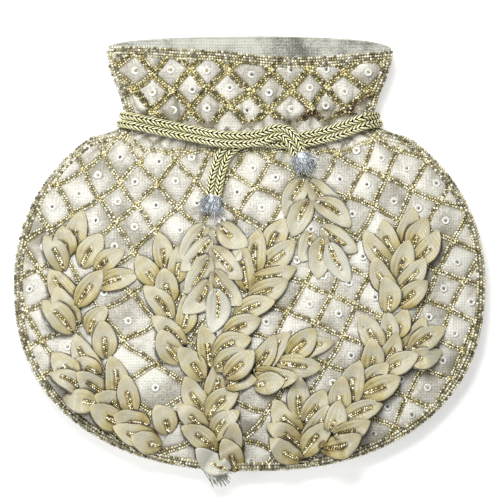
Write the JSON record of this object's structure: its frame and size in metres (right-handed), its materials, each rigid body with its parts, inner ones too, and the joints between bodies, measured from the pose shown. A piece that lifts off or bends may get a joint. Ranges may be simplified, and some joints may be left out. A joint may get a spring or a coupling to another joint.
{
  "type": "drawstring pouch",
  "caption": "Round beaded silk potli pouch with a gathered neck, a frill, a braided drawstring with leaf tassels and raised organza leaf sprays, lying on its back.",
  "frame": {"origin": "middle of the pouch's outline, on the surface it lies on", "axes": "+X across the pouch to the right of its front, +Y towards its mouth, +Z out of its front"},
  "size_m": [0.2358, 0.2175, 0.0356],
  "materials": {
    "ivory_silk": "ivory silk satin with a raised bead lattice",
    "lining_silk": "pale plain lining silk",
    "gold_beads": "gold and silver seed beads",
    "zari_cord": "olive-gold braided cord",
    "silver_thread": "silver-grey wound thread",
    "organza_leaf": "champagne organza"
  },
  "bodies": {
    "root": {"front_panel": "ivory_silk", "back_panel": "ivory_silk", "lining_front": "lining_silk", "lining_back": "lining_silk", "rim_piping": "gold_beads", "mouth_trim": "gold_beads", "drawstring_1": "zari_cord", "drawstring_2": "zari_cord", "binding_left": "silver_thread", "binding_right": "silver_thread", "tassel_left": "organza_leaf", "tassel_right": "organza_leaf", "leaf_spray_left": "organza_leaf", "leaf_spray_middle": "organza_leaf", "leaf_spray_centre": "organza_leaf", "leaf_spray_arm": "organza_leaf", "leaf_spray_upright": "organza_leaf", "leaf_spray_lower_right": "organza_leaf", "leaf_spray_upper_right": "organza_leaf"}
  },
  "joints": []
}
